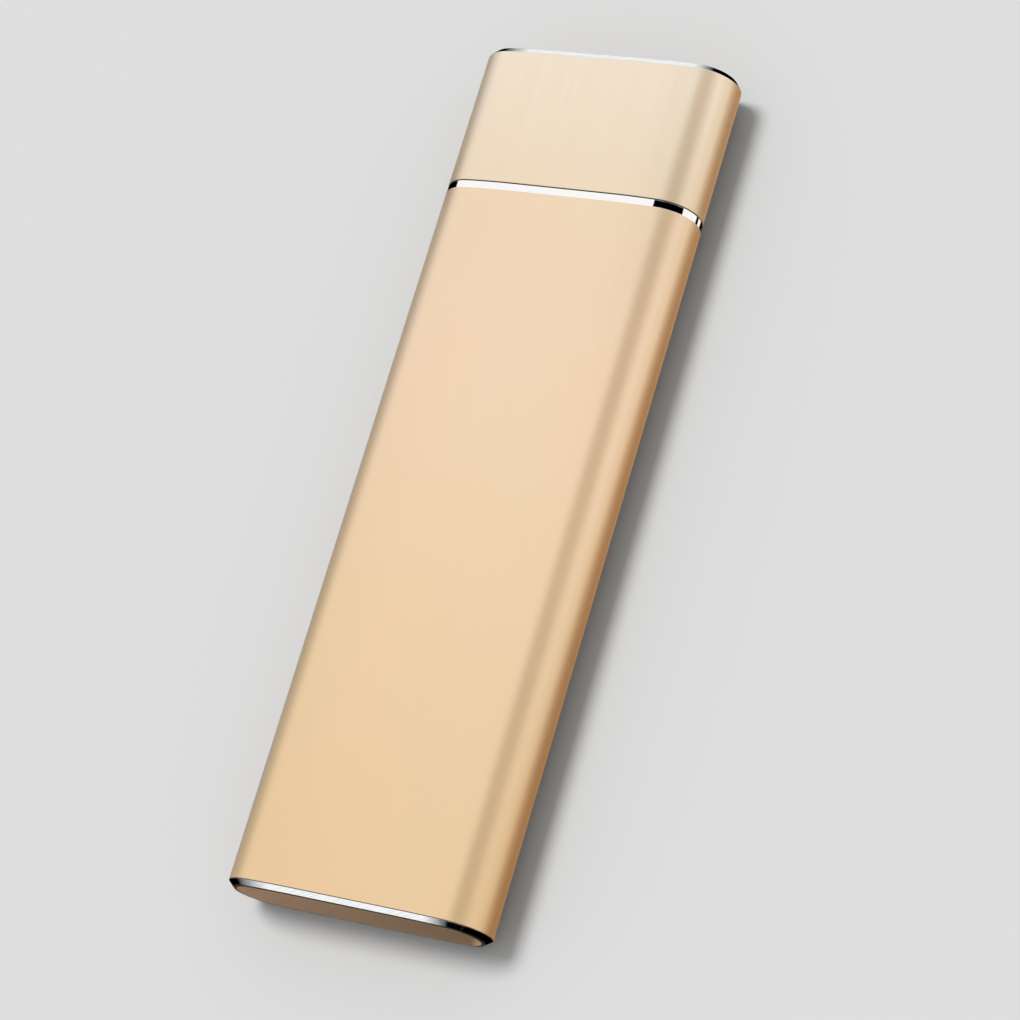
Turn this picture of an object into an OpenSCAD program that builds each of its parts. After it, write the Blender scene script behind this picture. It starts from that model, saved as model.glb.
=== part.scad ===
// Portable solid state drive in a flattened oval aluminium stick.
// It lies on one broad face: X runs across it, Y runs along it with the port at +Y, and Z is up.

/* [Case] */
// Width over the rounded sides
case_w = 34; // [33.6:0.2:38]
// Thickness over the flat faces
case_t = 9.8; // [9.8:0.1:11]
// Radius of the rounded sides
nose_r = 4.6; // [4.5:0.05:4.75]
// Width of the truly flat strip down the middle of each face
flat_w = 13; // [9:1:16]
// Wall of the extruded sleeve and of the cap
wall = 1.2; // [1:0.05:1.25]
// Gap between a moulded plug and the bore that it fills
fit_gap = 0.1; // [0.05:0.01:0.15]

/* [Cap] */
// Length of the cap at the port end
cap_len = 18.6; // [18:0.2:22]
// Thickness of the cap's end wall
cap_end_t = 1.5; // [1.2:0.1:2]
// How far the cap's polished edge runs along the case
cap_edge_len = 0.8; // [0.4:0.1:1]
// How far the cap's polished edge comes in from the outside
cap_edge_in = 0.65; // [0.3:0.05:0.9]

/* [Trim ring] */
// Width of the polished ring between the sleeve and the cap
ring_w = 0.95; // [0.7:0.05:1.5]
// How far the ring lies below the outside of the sleeve
ring_recess = 0.04; // [0.02:0.01:0.1]
// Open seam between the ring and the cap
seam_gap = 0.12; // [0.08:0.02:0.2]

/* [Sleeve] */
// How far the sleeve's polished tail edge runs along the case
tail_edge_len = 0.68; // [0.4:0.02:0.9]
// How far the sleeve's polished tail edge comes in from the outside
tail_edge_in = 0.8; // [0.4:0.05:0.85]
// Thickness of the plate that closes the tail
plate_t = 1; // [0.8:0.1:1.4]
// Bevel round the outer edge of the tail plate
plate_bevel = 0.12; // [0.05:0.01:0.2]
// Gap round the tail plate in its rebate
plate_gap = 0.05; // [0.03:0.01:0.08]
// Height of the upper pair of rails that hold the board's edges
rail_t = 0.8; // [0.6:0.1:1]
// How far the rails reach over the board
rail_grip = 1; // [0.6:0.1:1.2]
// Gap between the board and what it slides into
rail_gap = 0.05; // [0.03:0.01:0.08]

/* [Plugs] */
// Wall of the head block and the tail plug
plug_t = 1; // [0.8:0.1:1.05]
// How far the head block reaches into the sleeve
spigot_len = 4; // [3:0.5:5]
// Thickness of the head block's front wall
head_front_t = 1.2; // [1:0.1:1.5]
// Room behind the storage module for its stud, up to the tail plug
tail_room = 3; // [2.6:0.2:12]
// Length of the tail plug
tail_plug_len = 3.5; // [3:0.5:4]
// Thickness of the tail plug's closed end
tail_base_t = 1.2; // [1:0.1:1.4]
// Width of the ridges that clip the cap on
clip_w = 8; // [5:1:9]
// Height of the clip ridges
clip_h = 0.25; // [0.15:0.05:0.3]
// Distance from the cap's open end to its clip ridges
clip_back = 4; // [3:0.5:5]

/* [Main board] */
// Thickness of the board
board_t = 1; // [0.8:0.1:1.05]
// Gap between the board's long edges and the sides of the sleeve
board_side = 0.55; // [0.4:0.05:1]
// How much narrower the board's head is on each side
head_step = 1.2; // [1:0.1:1.4]
// Corner radius of the board
board_r = 0.8; // [0.4:0.1:1.2]
// Gap between the ends of the board and the case
board_gap = 0.3; // [0.2:0.05:0.5]
// Distance from the sides of the board's head to its screws
screw_side = 2.3; // [2.2:0.1:2.6]
// Distance from the board's front edge back to its screws
screw_back = 9.7; // [9:0.1:10]
// Thickness of the insulating film under the board
film_t = 0.1; // [0.05:0.01:0.15]

/* [Port] */
// Width of the metal shell of the port
port_w = 8.94; // [8.9:0.01:9]
// Height of the metal shell
port_h = 3.26; // [3.2:0.01:3.3]
// Length of the metal shell
port_len = 7.35; // [7:0.05:7.8]
// Thickness of the shell's sheet
shell_t = 0.3; // [0.25:0.01:0.32]
// How far the mouth of the shell lies inside the end face
port_setback = 0.25; // [0.1:0.05:0.5]
// Gap all round the shell in the cap's end wall
port_gap = 0.15; // [0.1:0.01:0.25]
// Thickness of the tongue
tongue_t = 0.7; // [0.6:0.05:0.75]
// Width of the tongue
tongue_w = 6.69; // [6.5:0.01:6.8]
// Contacts on each face of the tongue
tongue_pins = 12; // [8:2:12]

/* [Light pipe] */
// Diameter of the light pipe
pipe_d = 1; // [0.8:0.1:1.2]
// Distance from the middle of the port to the light pipe
pipe_x = 8.5; // [8:0.1:9]

/* [Storage module] */
// Width of the module
ssd_w = 22; // [20.4:0.2:22]
// Length of the module
ssd_len = 80; // [78:0.5:80]
// Thickness of the module's board
ssd_t = 0.8; // [0.7:0.05:0.9]
// Space between the two boards
ssd_lift = 1.35; // [1.2:0.05:1.5]
// Height of the packages on the module
chip_t = 1.2; // [0.9:0.1:1.3]
// Length of the thermal pad
pad_len = 62; // [50:1:63]
// Width of the thermal pad
pad_w = 20; // [14:1:21]
// Gap between the thermal pad and the sleeve
pad_gap = 0.05; // [0.02:0.01:0.2]

/* [Module socket] */
// Width of the socket's walls beside the module
socket_side = 1.025; // [0.9:0.025:1.2]
// Length of the socket
socket_len = 7; // [6:0.1:7.2]
// Height of the socket
socket_h = 3.2; // [3:0.1:3.4]
// How far the module goes into the socket
socket_grip = 4; // [3.5:0.1:4.2]
// Distance from the board's front edge back to the socket
socket_back = 17.7; // [17.5:0.1:18.5]

/* [Hidden] */
$fn = 96;
fine = 720;
over = 1;

// The case is as long as what it holds, from the cap's end wall to the tail plate
case_len = cap_end_t + board_gap + socket_back + socket_len - socket_grip + ssd_len
    + tail_room + tail_plug_len + plate_t;

// Where the pieces of the case meet
y_head = case_len/2;
y_tail = -case_len/2;
cap_y = y_head - cap_len;
cap_inner_y = y_head - cap_end_t;
ring_y = cap_y - seam_gap - ring_w;
head_block_y = ring_y - spigot_len;
head_front_y = cap_inner_y - head_front_t;
plug_y = y_tail + plate_t;
plug_inner_y = plug_y + tail_base_t;
plug_end_y = plug_y + tail_plug_len;
plug_inset = wall + fit_gap;

// The section of the case: a flat strip, a wide shoulder arc, then the nose arc, all tangent
nose_x = case_w/2 - nose_r;
nose_reach = nose_x - flat_w/2;
shoulder_r = (pow(case_t/2, 2) - pow(nose_r, 2) + pow(nose_reach, 2)) / (case_t - 2*nose_r);
shoulder_sin = nose_reach / (shoulder_r - nose_r);
shoulder_z = case_t/2 - shoulder_r;

// Where the shoulder arc meets the nose arc, on the outline that lies inset inside the case's
function seam_x(inset) = flat_w/2 + (shoulder_r - inset)*shoulder_sin;

// Half the width of that outline at a height above or below mid thickness
function half_width(inset, z) = nose_x + sqrt(pow(nose_r - inset, 2) - pow(z, 2));

// How far the face has fallen away at a distance from its middle line
function face_drop(x) = shoulder_r - sqrt(pow(shoulder_r, 2) - pow(max(0, x - flat_w/2), 2));

// The main board lies so that the port is at mid thickness
port_z = case_t/2;
board_top = port_z - port_h/2;
board_z = board_top - board_t;
board_w = 2*(half_width(wall, port_z - board_z) - board_side);
board_head_w = board_w - 2*head_step;
board_front = cap_inner_y - board_gap;
board_tail = plug_inner_y + board_gap;
board_step = head_block_y - board_gap;
board_slot = board_w/2 + rail_gap;
head_slot = board_head_w/2 + rail_gap;
hole_gap = 0.06;

// Screws through the main board into the head block's pillars
screw_x = board_head_w/2 - screw_side;
screw_y = board_front - screw_back;
screw_r = 0.75;
screw_len = 3.6;
screw_head_r = 1.3;
screw_head_t = 0.7;
pillar_r = 2;

// The port, with the legs of its shell in slots of the main board
port_front = y_head - port_setback;
port_rear = port_front - port_len;
leg_len = 1;
leg_below = 0.4;
leg_front = 3.6;
leg_y = [port_front - leg_front, port_rear + leg_len/2];
tongue_base_len = 2.4;
tongue_setback = 0.6;
tongue_front = port_front - tongue_setback;
tongue_tip = 0.45;
pipe_r = pipe_d/2;
lamp_back = 3.4;
lamp_y = board_front - lamp_back;
lamp_size = [1.6, 0.8, 0.6];

// The socket is placed from the board's front edge, the module from the socket
socket_rear = board_front - socket_back;
socket_mouth = socket_rear - socket_len;
ssd_front = socket_mouth + socket_grip;
ssd_tail = ssd_front - ssd_len;
ssd_z = board_top + ssd_lift;
ssd_top = ssd_z + ssd_t;
slot_gap = 0.04;
tab_step = 1.075;
tab_w = ssd_w - 2*tab_step;
socket_w = tab_w + 2*socket_side;

// The bridge chip, and the parts that stand round it
bridge_size = [7, 7];
bridge_t = 0.85;
bridge_back = 2.2;
bridge_y = screw_y - bridge_back;
small_size = [0.8, 1.6, 0.8];
tiny_size = [0.5, 1, 0.35];
part_gap = 0.9;
part_pitch = 2.2;
capacitor_x = bridge_size[0]/2 + part_gap;
part_row_y = socket_rear + part_gap;
part_row_x = board_head_w/2 - part_gap;

// The module's edge: its key and its pins, two rows half a pitch apart
key_x = 6.6;
key_w = 1.2;
pin_pitch = 0.5;
pin_w = 0.18;
pin_t = 0.1;
finger_w = 0.34;
finger_t = 0.03;
pin_edge = 0.9;
pin_places = 2*floor((tab_w/2 - pin_edge)/pin_pitch);
pins_x = [for (i = [0 : pin_places]) let (x = (i - pin_places/2)*pin_pitch) if (abs(x - key_x) > key_w) x];

// The stud and the screw at the module's free end
notch_r = 1.75;
stud_r = 2.2;
stud_neck_r = 1.5;
stud_bore_r = 1;

// The packages on the module, counted back from the socket
package_gap = 2;
controller_size = [10, 10];
cache_size = [10.5, 7.5];
memory_size = [14, 18];
controller_y = socket_mouth - package_gap - controller_size[1]/2;
cache_y = controller_y - controller_size[1]/2 - package_gap - cache_size[1]/2;
memory_y = cache_y - cache_size[1]/2 - package_gap - memory_size[1]/2;
memory_step = memory_size[1] + package_gap;
module_row_x = ssd_w/2 - 3*small_size[0];
pad_z = ssd_top + chip_t;
pad_top = case_t - wall - face_drop(pad_w/2) - pad_gap;
pad_back = 1;
pad_front = min(socket_mouth, head_block_y) - pad_back;

// Everything under the flat strip and the shoulder arcs of the upper face, from mid thickness
module crown_2d(inset) {
    for (s = [-1, 1])
        translate([s*flat_w/2, shoulder_z]) circle(r = shoulder_r - inset, $fn = fine);
    translate([-flat_w/2, shoulder_z]) square([flat_w, shoulder_r - inset]);
}

// The case's outline, drawn in from the outside by inset
module section_2d(inset = 0) {
    seam = seam_x(inset);
    intersection() {
        polygon([[-seam, -case_t/2], [seam, -case_t/2], [seam, case_t/2], [-seam, case_t/2]]);
        crown_2d(inset);
        mirror([0, 1]) crown_2d(inset);
    }
    for (s = [0, 1]) mirror([s, 0])
        intersection() {
            translate([nose_x, 0]) circle(r = nose_r - inset);
            translate([seam, -case_t/2]) square([case_w, case_t]);
        }
}

// Carries an outline along the case from one place to another
module along(from, to) {
    translate([0, to, case_t/2]) rotate([90, 0, 0]) linear_extrude(height = to - from) children();
}

// The upper face of a bevelled end, whose inset grows from big to small: the crown's arcs as cones
module edge_crown(big, small, h) {
    for (s = [-1, 1])
        translate([s*flat_w/2, shoulder_z])
            cylinder(r1 = shoulder_r - big, r2 = shoulder_r - small, h = h, $fn = fine);
    translate([flat_w/2, 0]) rotate([0, -90, 0]) linear_extrude(height = flat_w)
        polygon([[0, shoulder_z], [0, case_t/2 - big], [h, case_t/2 - small], [h, shoulder_z]]);
}

// A slice of the case's outline that is drawn in by big at its foot and by small at its top
module edge_slice(big, small, h) {
    foot = seam_x(big);
    top = seam_x(small);
    intersection() {
        edge_crown(big, small, h);
        mirror([0, 1, 0]) edge_crown(big, small, h);
        translate([0, case_t/2, 0]) rotate([90, 0, 0]) linear_extrude(height = case_t)
            polygon([[-foot, 0], [foot, 0], [top, h], [-top, h]]);
    }
    for (s = [0, 1]) mirror([s, 0, 0])
        intersection() {
            translate([nose_x, 0]) cylinder(r1 = nose_r - big, r2 = nose_r - small, h = h);
            translate([0, case_t/2, 0]) rotate([90, 0, 0]) linear_extrude(height = case_t)
                polygon([[foot, 0], [case_w, 0], [case_w, h], [top, h]]);
        }
}

// A bar of the case's outline that stands on one end and has a bevelled edge round the other
module bevelled_bar(inset, len, edge_len, edge_in) {
    straight = len - edge_len;
    linear_extrude(height = straight) section_2d(inset);
    translate([0, 0, straight]) edge_slice(inset, inset + edge_in, edge_len);
}

// A flat rectangle with round corners, from one corner to the other
module rounded_2d(x0, x1, y0, y1, r) {
    translate([x0 + r, y0]) square([x1 - x0 - 2*r, y1 - y0]);
    translate([x0, y0 + r]) square([x1 - x0, y1 - y0 - 2*r]);
    for (x = [x0 + r, x1 - r], y = [y0 + r, y1 - r]) translate([x, y]) circle(r = r);
}

// A bar with fully round sides at the height of the port
module stadium(w, h, from, to) {
    translate([0, to, port_z]) rotate([90, 0, 0]) linear_extrude(height = to - from) {
        square([w - h, h], center = true);
        for (s = [-1, 1]) translate([s*(w - h)/2, 0]) circle(d = h);
    }
}

module box(x0, x1, y0, y1, z0, z1) {
    translate([x0, y0, z0]) cube([x1 - x0, y1 - y0, z1 - z0]);
}

// A chip's body, with a sunk mark beside its first pin
module chip(size, at, z, t, mark_r = 0.4, mark_depth = 0.05) {
    mark = [at[0] - size[0]/2 + 3*mark_r, at[1] + size[1]/2 - 3*mark_r, z + t - mark_depth];
    difference() {
        translate([at[0] - size[0]/2, at[1] - size[1]/2, z]) cube([size[0], size[1], t]);
        translate(mark) cylinder(r = mark_r, h = t);
    }
}

// A capacitor or a resistor
module passive(size, at, z) {
    translate([at[0] - size[0]/2, at[1] - size[1]/2, z]) cube(size);
}

// The hollow of the sleeve: the outline less the four rails that take the board's edges
module bore_2d() {
    rail_x = board_w/2 - rail_grip;
    low = board_z - rail_gap - port_z;
    high = board_top + rail_gap - port_z;
    difference() {
        section_2d(wall);
        for (s = [0, 1]) mirror([s, 0]) {
            translate([rail_x, -case_t/2]) square([case_w, low + case_t/2]);
            translate([rail_x, high]) square([case_w, rail_t]);
        }
    }
}

module sleeve() {
    tail_bore = plug_end_y + board_gap;
    mouth_bore = head_block_y - board_gap;
    color([0.87, 0.72, 0.52]) difference() {
        translate([0, ring_y, case_t/2]) rotate([90, 0, 0])
            bevelled_bar(0, ring_y - y_tail, tail_edge_len, tail_edge_in);
        along(tail_bore - over, mouth_bore + over) bore_2d();
        along(plug_y - over/2, tail_bore) section_2d(wall);
        along(mouth_bore, ring_y + over) section_2d(wall);
        along(y_tail - over, plug_y) section_2d(tail_edge_in + plate_gap);
    }
}

// The openings for the port's shell and for the light pipe
module port_openings(gap, from, to) {
    stadium(port_w + 2*gap, port_h + 2*gap, from, to);
    translate([pipe_x, to, port_z]) rotate([90, 0, 0]) cylinder(r = pipe_r + hole_gap, h = to - from);
}

// The clip ridges above and below the head block, or with a gap the grooves for them in the cap
module clips(gap) {
    clip_len = 1;
    root = over/2;
    reach = root + fit_gap + clip_h + gap;
    y = cap_y + clip_back - gap;
    for (s = [0, 1]) translate([0, 0, s*case_t]) mirror([0, 0, s])
        translate([-clip_w/2 - gap, y, plug_inset + root - reach])
            cube([clip_w + 2*gap, clip_len + 2*gap, reach]);
}

module port_cap() {
    color([0.89, 0.75, 0.56]) difference() {
        translate([0, cap_y, case_t/2]) rotate([-90, 0, 0])
            bevelled_bar(0, cap_len, cap_edge_len, cap_edge_in);
        along(cap_y - over, cap_inner_y) section_2d(wall);
        port_openings(port_gap, cap_inner_y - over, y_head + over);
        clips(fit_gap/2);
    }
}

module trim_ring() {
    color([0.86, 0.87, 0.88]) along(ring_y, ring_y + ring_w) difference() {
        section_2d(ring_recess);
        section_2d(wall);
    }
}

module end_plate() {
    color([0.68, 0.53, 0.38]) translate([0, plug_y, case_t/2]) rotate([90, 0, 0])
        bevelled_bar(tail_edge_in + 2*plate_gap, plate_t, plate_bevel, plate_bevel);
}

// The hollow of a moulded plug, whose floor comes up to the board
module plug_hollow_2d() {
    intersection() {
        section_2d(plug_inset + plug_t);
        translate([-case_w/2, board_z - port_z]) square([case_w, case_t]);
    }
}

module head_block() {
    leg_x = port_w/2 + fit_gap;
    color([0.09, 0.09, 0.1]) difference() {
        union() {
            difference() {
                along(head_block_y, cap_inner_y) section_2d(plug_inset);
                along(head_block_y - over, head_front_y) plug_hollow_2d();
            }
            intersection() {
                along(head_block_y, head_front_y) section_2d(plug_inset + plug_t/2);
                for (s = [-1, 1]) translate([s*screw_x, screw_y, board_top])
                    cylinder(r = pillar_r, h = case_t);
            }
            clips(0);
        }
        // the bed that the board slides into, and room below it for the legs of the port's shell
        box(-head_slot, head_slot, head_block_y - over, cap_inner_y + over, board_z, board_top);
        box(-leg_x, leg_x, port_rear - fit_gap, board_front,
            board_z - leg_below - fit_gap, board_z + over/2);
        port_openings(hole_gap, head_front_y - over, cap_inner_y + over);
        for (s = [-1, 1]) translate([s*screw_x, screw_y, 0]) {
            cylinder(r = screw_head_r + 2*fit_gap, h = board_z + over/2);
            cylinder(r = screw_r + hole_gap/2, h = board_top + screw_len);
        }
    }
}

module tail_plug() {
    color([0.09, 0.09, 0.1]) difference() {
        along(plug_y, plug_end_y) section_2d(plug_inset);
        along(plug_inner_y, plug_end_y + over) plug_hollow_2d();
        box(-board_slot, board_slot, plug_inner_y, plug_end_y + over, board_z, board_top + rail_gap);
    }
}

module main_board() {
    leg_hole = [shell_t + 2*hole_gap, leg_len + 2*hole_gap];
    color([0.05, 0.22, 0.14]) translate([0, 0, board_z]) linear_extrude(height = board_t)
        difference() {
            union() {
                rounded_2d(-board_w/2, board_w/2, board_tail, board_step, board_r);
                rounded_2d(-board_head_w/2, board_head_w/2, board_step - 2*board_r, board_front, board_r);
            }
            for (s = [-1, 1]) {
                translate([s*screw_x, screw_y]) circle(r = screw_r + 2*hole_gap);
                for (y = leg_y) translate([s*(port_w - shell_t)/2, y]) square(leg_hole, center = true);
            }
        }
}

module insulating_film() {
    half = board_w/2 - 2*rail_grip;
    color([0.75, 0.6, 0.2]) translate([0, 0, board_z - film_t]) linear_extrude(height = film_t)
        rounded_2d(-half, half, plug_end_y + board_gap, board_step - board_gap, board_r);
}

// A cross in a screw's head, cut from above
module cross_slot(r, w, depth) {
    for (turn = [0, 90]) rotate([0, 0, turn]) translate([-r, -w/2, -depth]) cube([2*r, w, depth + over]);
}

module board_screws() {
    color([0.6, 0.6, 0.62]) for (s = [-1, 1]) translate([s*screw_x, screw_y, board_z])
        difference() {
            union() {
                translate([0, 0, -screw_head_t]) cylinder(r = screw_head_r, h = screw_head_t);
                cylinder(r = screw_r, h = screw_len);
            }
            translate([0, 0, -screw_head_t]) mirror([0, 0, 1])
                cross_slot(screw_head_r/2, 0.3, screw_head_t/2);
        }
}

module usb_shell() {
    color([0.72, 0.73, 0.75]) difference() {
        union() {
            stadium(port_w, port_h, port_rear, port_front);
            for (s = [0, 1], y = leg_y) mirror([s, 0, 0])
                box(port_w/2 - shell_t, port_w/2, y - leg_len/2, y + leg_len/2,
                    board_z - leg_below, port_z);
        }
        stadium(port_w - 2*shell_t, port_h - 2*shell_t, port_rear - over, port_front + over);
    }
}

module usb_tongue() {
    inside = 2*shell_t + hole_gap;
    tip_r = 0.3;
    color([0.08, 0.08, 0.09]) {
        stadium(port_w - inside, port_h - inside, port_rear, port_rear + tongue_base_len);
        translate([0, 0, port_z - tongue_t/2]) linear_extrude(height = tongue_t)
            rounded_2d(-tongue_w/2, tongue_w/2, port_rear + tongue_base_len/2, tongue_front, tip_r);
    }
}

module usb_contacts() {
    w = 0.27;
    t = 0.06;
    first = -(tongue_pins - 1)/2*pin_pitch;
    color([0.9, 0.7, 0.3]) for (i = [0 : tongue_pins - 1], side = [0, 1])
        translate([first + i*pin_pitch, 0, port_z]) mirror([0, 0, side])
            box(-w/2, w/2, port_rear + tongue_base_len, tongue_front - tongue_tip,
                tongue_t/2, tongue_t/2 + t);
}

module activity_led() {
    color([0.95, 0.95, 0.88])
        translate([pipe_x - lamp_size[0]/2, lamp_y - lamp_size[1]/2, board_top]) cube(lamp_size);
}

// A round rod to the end face, with a square foot over the lamp
module light_pipe() {
    foot = 0.8;
    foot_z = board_top + lamp_size[2] + hole_gap;
    tip = y_head - hole_gap;
    color([0.85, 0.92, 1, 0.6]) {
        translate([pipe_x, tip, port_z]) rotate([90, 0, 0]) cylinder(r = pipe_r, h = tip - lamp_y);
        box(pipe_x - foot, pipe_x + foot, lamp_y - foot, lamp_y + foot, foot_z, port_z + pipe_r);
    }
}

module bridge_chip() {
    color([0.07, 0.07, 0.08]) chip(bridge_size, [0, bridge_y], board_top, bridge_t);
}

// A small chip with four leads on each side
module firmware_chip() {
    size = [4.4, 3];
    t = 1.1;
    lead = [1, 0.25, 0.2];
    lead_pitch = 0.65;
    at = [lead[0] + size[0]/2 - part_row_x, part_row_y + size[1]/2];
    color([0.1, 0.1, 0.11]) {
        chip(size, at, board_top, t, 0.25);
        for (i = [0 : 3], s = [0, 1]) translate([at[0], at[1] + (i - 1.5)*lead_pitch, board_top])
            mirror([s, 0, 0]) box(0, size[0]/2 + lead[0], -lead[1]/2, lead[1]/2, 0, lead[2]);
    }
}

module crystal() {
    half = [1, 1.25];
    at = [capacitor_x + small_size[0] + half[0], part_row_y + half[1]];
    color([0.78, 0.78, 0.8]) translate([0, 0, board_top]) linear_extrude(height = 0.7)
        rounded_2d(at[0] - half[0], at[0] + half[0], at[1] - half[1], at[1] + half[1], 0.3);
}

// A square choke with the round top of its core showing
module power_inductor() {
    half = 1.5;
    t = 1.5;
    core_r = 1.1;
    groove = 0.25;
    at = [part_row_x - half, part_row_y + half];
    color([0.3, 0.3, 0.32]) difference() {
        translate([0, 0, board_top]) linear_extrude(height = t)
            rounded_2d(at[0] - half, at[0] + half, at[1] - half, at[1] + half, 0.4);
        translate([at[0], at[1], board_top + t - groove]) difference() {
            cylinder(r = core_r, h = over);
            translate([0, 0, -over]) cylinder(r = core_r - groove, h = 3*over);
        }
    }
}

module board_capacitors() {
    color([0.72, 0.55, 0.36]) for (s = [-1, 1], i = [-1 : 1])
        passive(small_size, [s*capacitor_x, screw_y - part_gap + i*part_pitch], board_top);
}

module board_resistors() {
    y = bridge_y + bridge_size[1]/2 + part_gap + tiny_size[0];
    color([0.12, 0.12, 0.13]) for (i = [-2 : 2]) passive(tiny_size, [i*part_pitch, y], board_top);
}

module module_socket() {
    lip = 1;
    step_len = 0.8;
    slot = ssd_t/2 + finger_t + pin_t + slot_gap;
    mid = ssd_z + ssd_t/2;
    color([0.11, 0.1, 0.1]) difference() {
        translate([0, 0, board_top]) linear_extrude(height = socket_h)
            rounded_2d(-socket_w/2, socket_w/2, socket_mouth, socket_rear, 0.4);
        // the slot for the module's tab, with the key left standing in it
        difference() {
            box(-tab_w/2 - slot_gap, tab_w/2 + slot_gap, socket_mouth - over, ssd_front + slot_gap,
                mid - slot, mid + slot);
            box(key_x - key_w/2 + slot_gap, key_x + key_w/2 - slot_gap, socket_mouth + lip,
                ssd_front + over, mid - case_t, mid + case_t);
        }
        // two slits that the contacts leave through
        for (s = [0, 1]) translate([0, 0, mid]) mirror([0, 0, s])
            box(-tab_w/2 + slot_gap, tab_w/2 - slot_gap, ssd_front, socket_rear + over,
                slot - 2*slot_gap - pin_t, slot);
        // the step that clears the module's upper face
        box(-socket_w/2 + lip, socket_w/2 - lip, socket_mouth - over, socket_mouth + step_len,
            ssd_top, board_top + socket_h + over);
    }
}

// Two rows of bent strips, which grip the module's fingers and come down to the board at the rear
module socket_contacts() {
    foot = 0.5;
    start = socket_mouth + 1.2;
    out = socket_rear + slot_gap;
    color([0.85, 0.68, 0.32]) for (x = pins_x, row = [0, 1]) {
        z = row == 0 ? ssd_z - finger_t - pin_t : ssd_top + finger_t;
        translate([x + row*pin_pitch/2, 0, 0]) rotate([90, 0, 90])
            linear_extrude(height = pin_w, center = true) {
                translate([start, z]) square([out + pin_t - start, pin_t]);
                translate([out, board_top]) square([pin_t, z + pin_t - board_top]);
                translate([out, board_top]) square([foot, pin_t]);
            }
    }
}

module module_fingers() {
    finger_len = 2.4;
    end = ssd_front - 0.2;
    color([0.9, 0.72, 0.32]) for (x = pins_x, row = [0, 1])
        translate([x + row*pin_pitch/2, 0, row == 0 ? ssd_z - finger_t : ssd_top])
            box(-finger_w/2, finger_w/2, end - finger_len, end, 0, finger_t);
}

// The stud under the module's free end, with a neck that stands in the module's notch
module module_stud() {
    color([0.8, 0.65, 0.35]) translate([0, ssd_tail, board_top]) difference() {
        union() {
            cylinder(r = stud_r, h = ssd_lift);
            cylinder(r = stud_neck_r, h = ssd_lift + ssd_t - hole_gap);
        }
        translate([0, 0, -over]) cylinder(r = stud_bore_r, h = ssd_lift + ssd_t + 2*over);
    }
}

module module_screw() {
    head_r = 2.2;
    head_t = 0.8;
    shank = ssd_t + ssd_lift - slot_gap;
    color([0.62, 0.62, 0.64]) translate([0, ssd_tail, ssd_top]) difference() {
        union() {
            cylinder(r = head_r, h = head_t);
            translate([0, 0, -shank]) cylinder(r = stud_bore_r - hole_gap, h = shank + head_t/2);
        }
        translate([0, 0, head_t]) cross_slot(head_r/2, 0.4, head_t/2);
    }
}

module module_board() {
    color([0.04, 0.12, 0.3]) translate([0, 0, ssd_z]) linear_extrude(height = ssd_t) difference() {
        union() {
            rounded_2d(-ssd_w/2, ssd_w/2, ssd_tail, socket_mouth - slot_gap, 0.4);
            rounded_2d(-tab_w/2, tab_w/2, socket_mouth - over, ssd_front, 0.3);
        }
        translate([0, ssd_tail]) circle(r = notch_r);
        translate([key_x - key_w/2, socket_mouth + key_w/2]) square([key_w, socket_grip]);
    }
}

module storage_controller() {
    color([0.06, 0.06, 0.07]) chip(controller_size, [0, controller_y], ssd_top, chip_t);
}

module cache_chip() {
    color([0.07, 0.07, 0.08]) chip(cache_size, [0, cache_y], ssd_top, chip_t);
}

module memory_chip(n) {
    color([0.06, 0.06, 0.07]) chip(memory_size, [0, memory_y - n*memory_step], ssd_top, chip_t);
}

module module_power_chip() {
    size = [3, 3];
    edge_gap = 1;
    at = [edge_gap + size[0]/2 - ssd_w/2, controller_y];
    color([0.09, 0.09, 0.1]) chip(size, at, ssd_top, chip_t/2, 0.2);
}

module module_capacitors() {
    color([0.7, 0.54, 0.36]) {
        for (i = [-1 : 1]) passive(small_size, [module_row_x, controller_y + i*part_pitch], ssd_top);
        for (s = [-1, 1], i = [-2 : 2])
            passive(tiny_size, [s*module_row_x, memory_y + i*part_pitch], ssd_top);
    }
}

module thermal_pad() {
    color([0.55, 0.62, 0.7]) translate([0, 0, pad_z]) linear_extrude(height = pad_top - pad_z)
        rounded_2d(-pad_w/2, pad_w/2, pad_front - pad_len, pad_front, 0.5);
}

sleeve();
port_cap();
trim_ring();
end_plate();
head_block();
tail_plug();
main_board();
insulating_film();
board_screws();
usb_shell();
usb_tongue();
usb_contacts();
activity_led();
light_pipe();
bridge_chip();
firmware_chip();
crystal();
power_inductor();
board_capacitors();
board_resistors();
module_socket();
socket_contacts();
module_stud();
module_screw();
module_board();
module_fingers();
storage_controller();
cache_chip();
memory_chip(0);  // memory_chip_1
memory_chip(1);  // memory_chip_2
module_power_chip();
module_capacitors();
thermal_pad();
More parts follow.
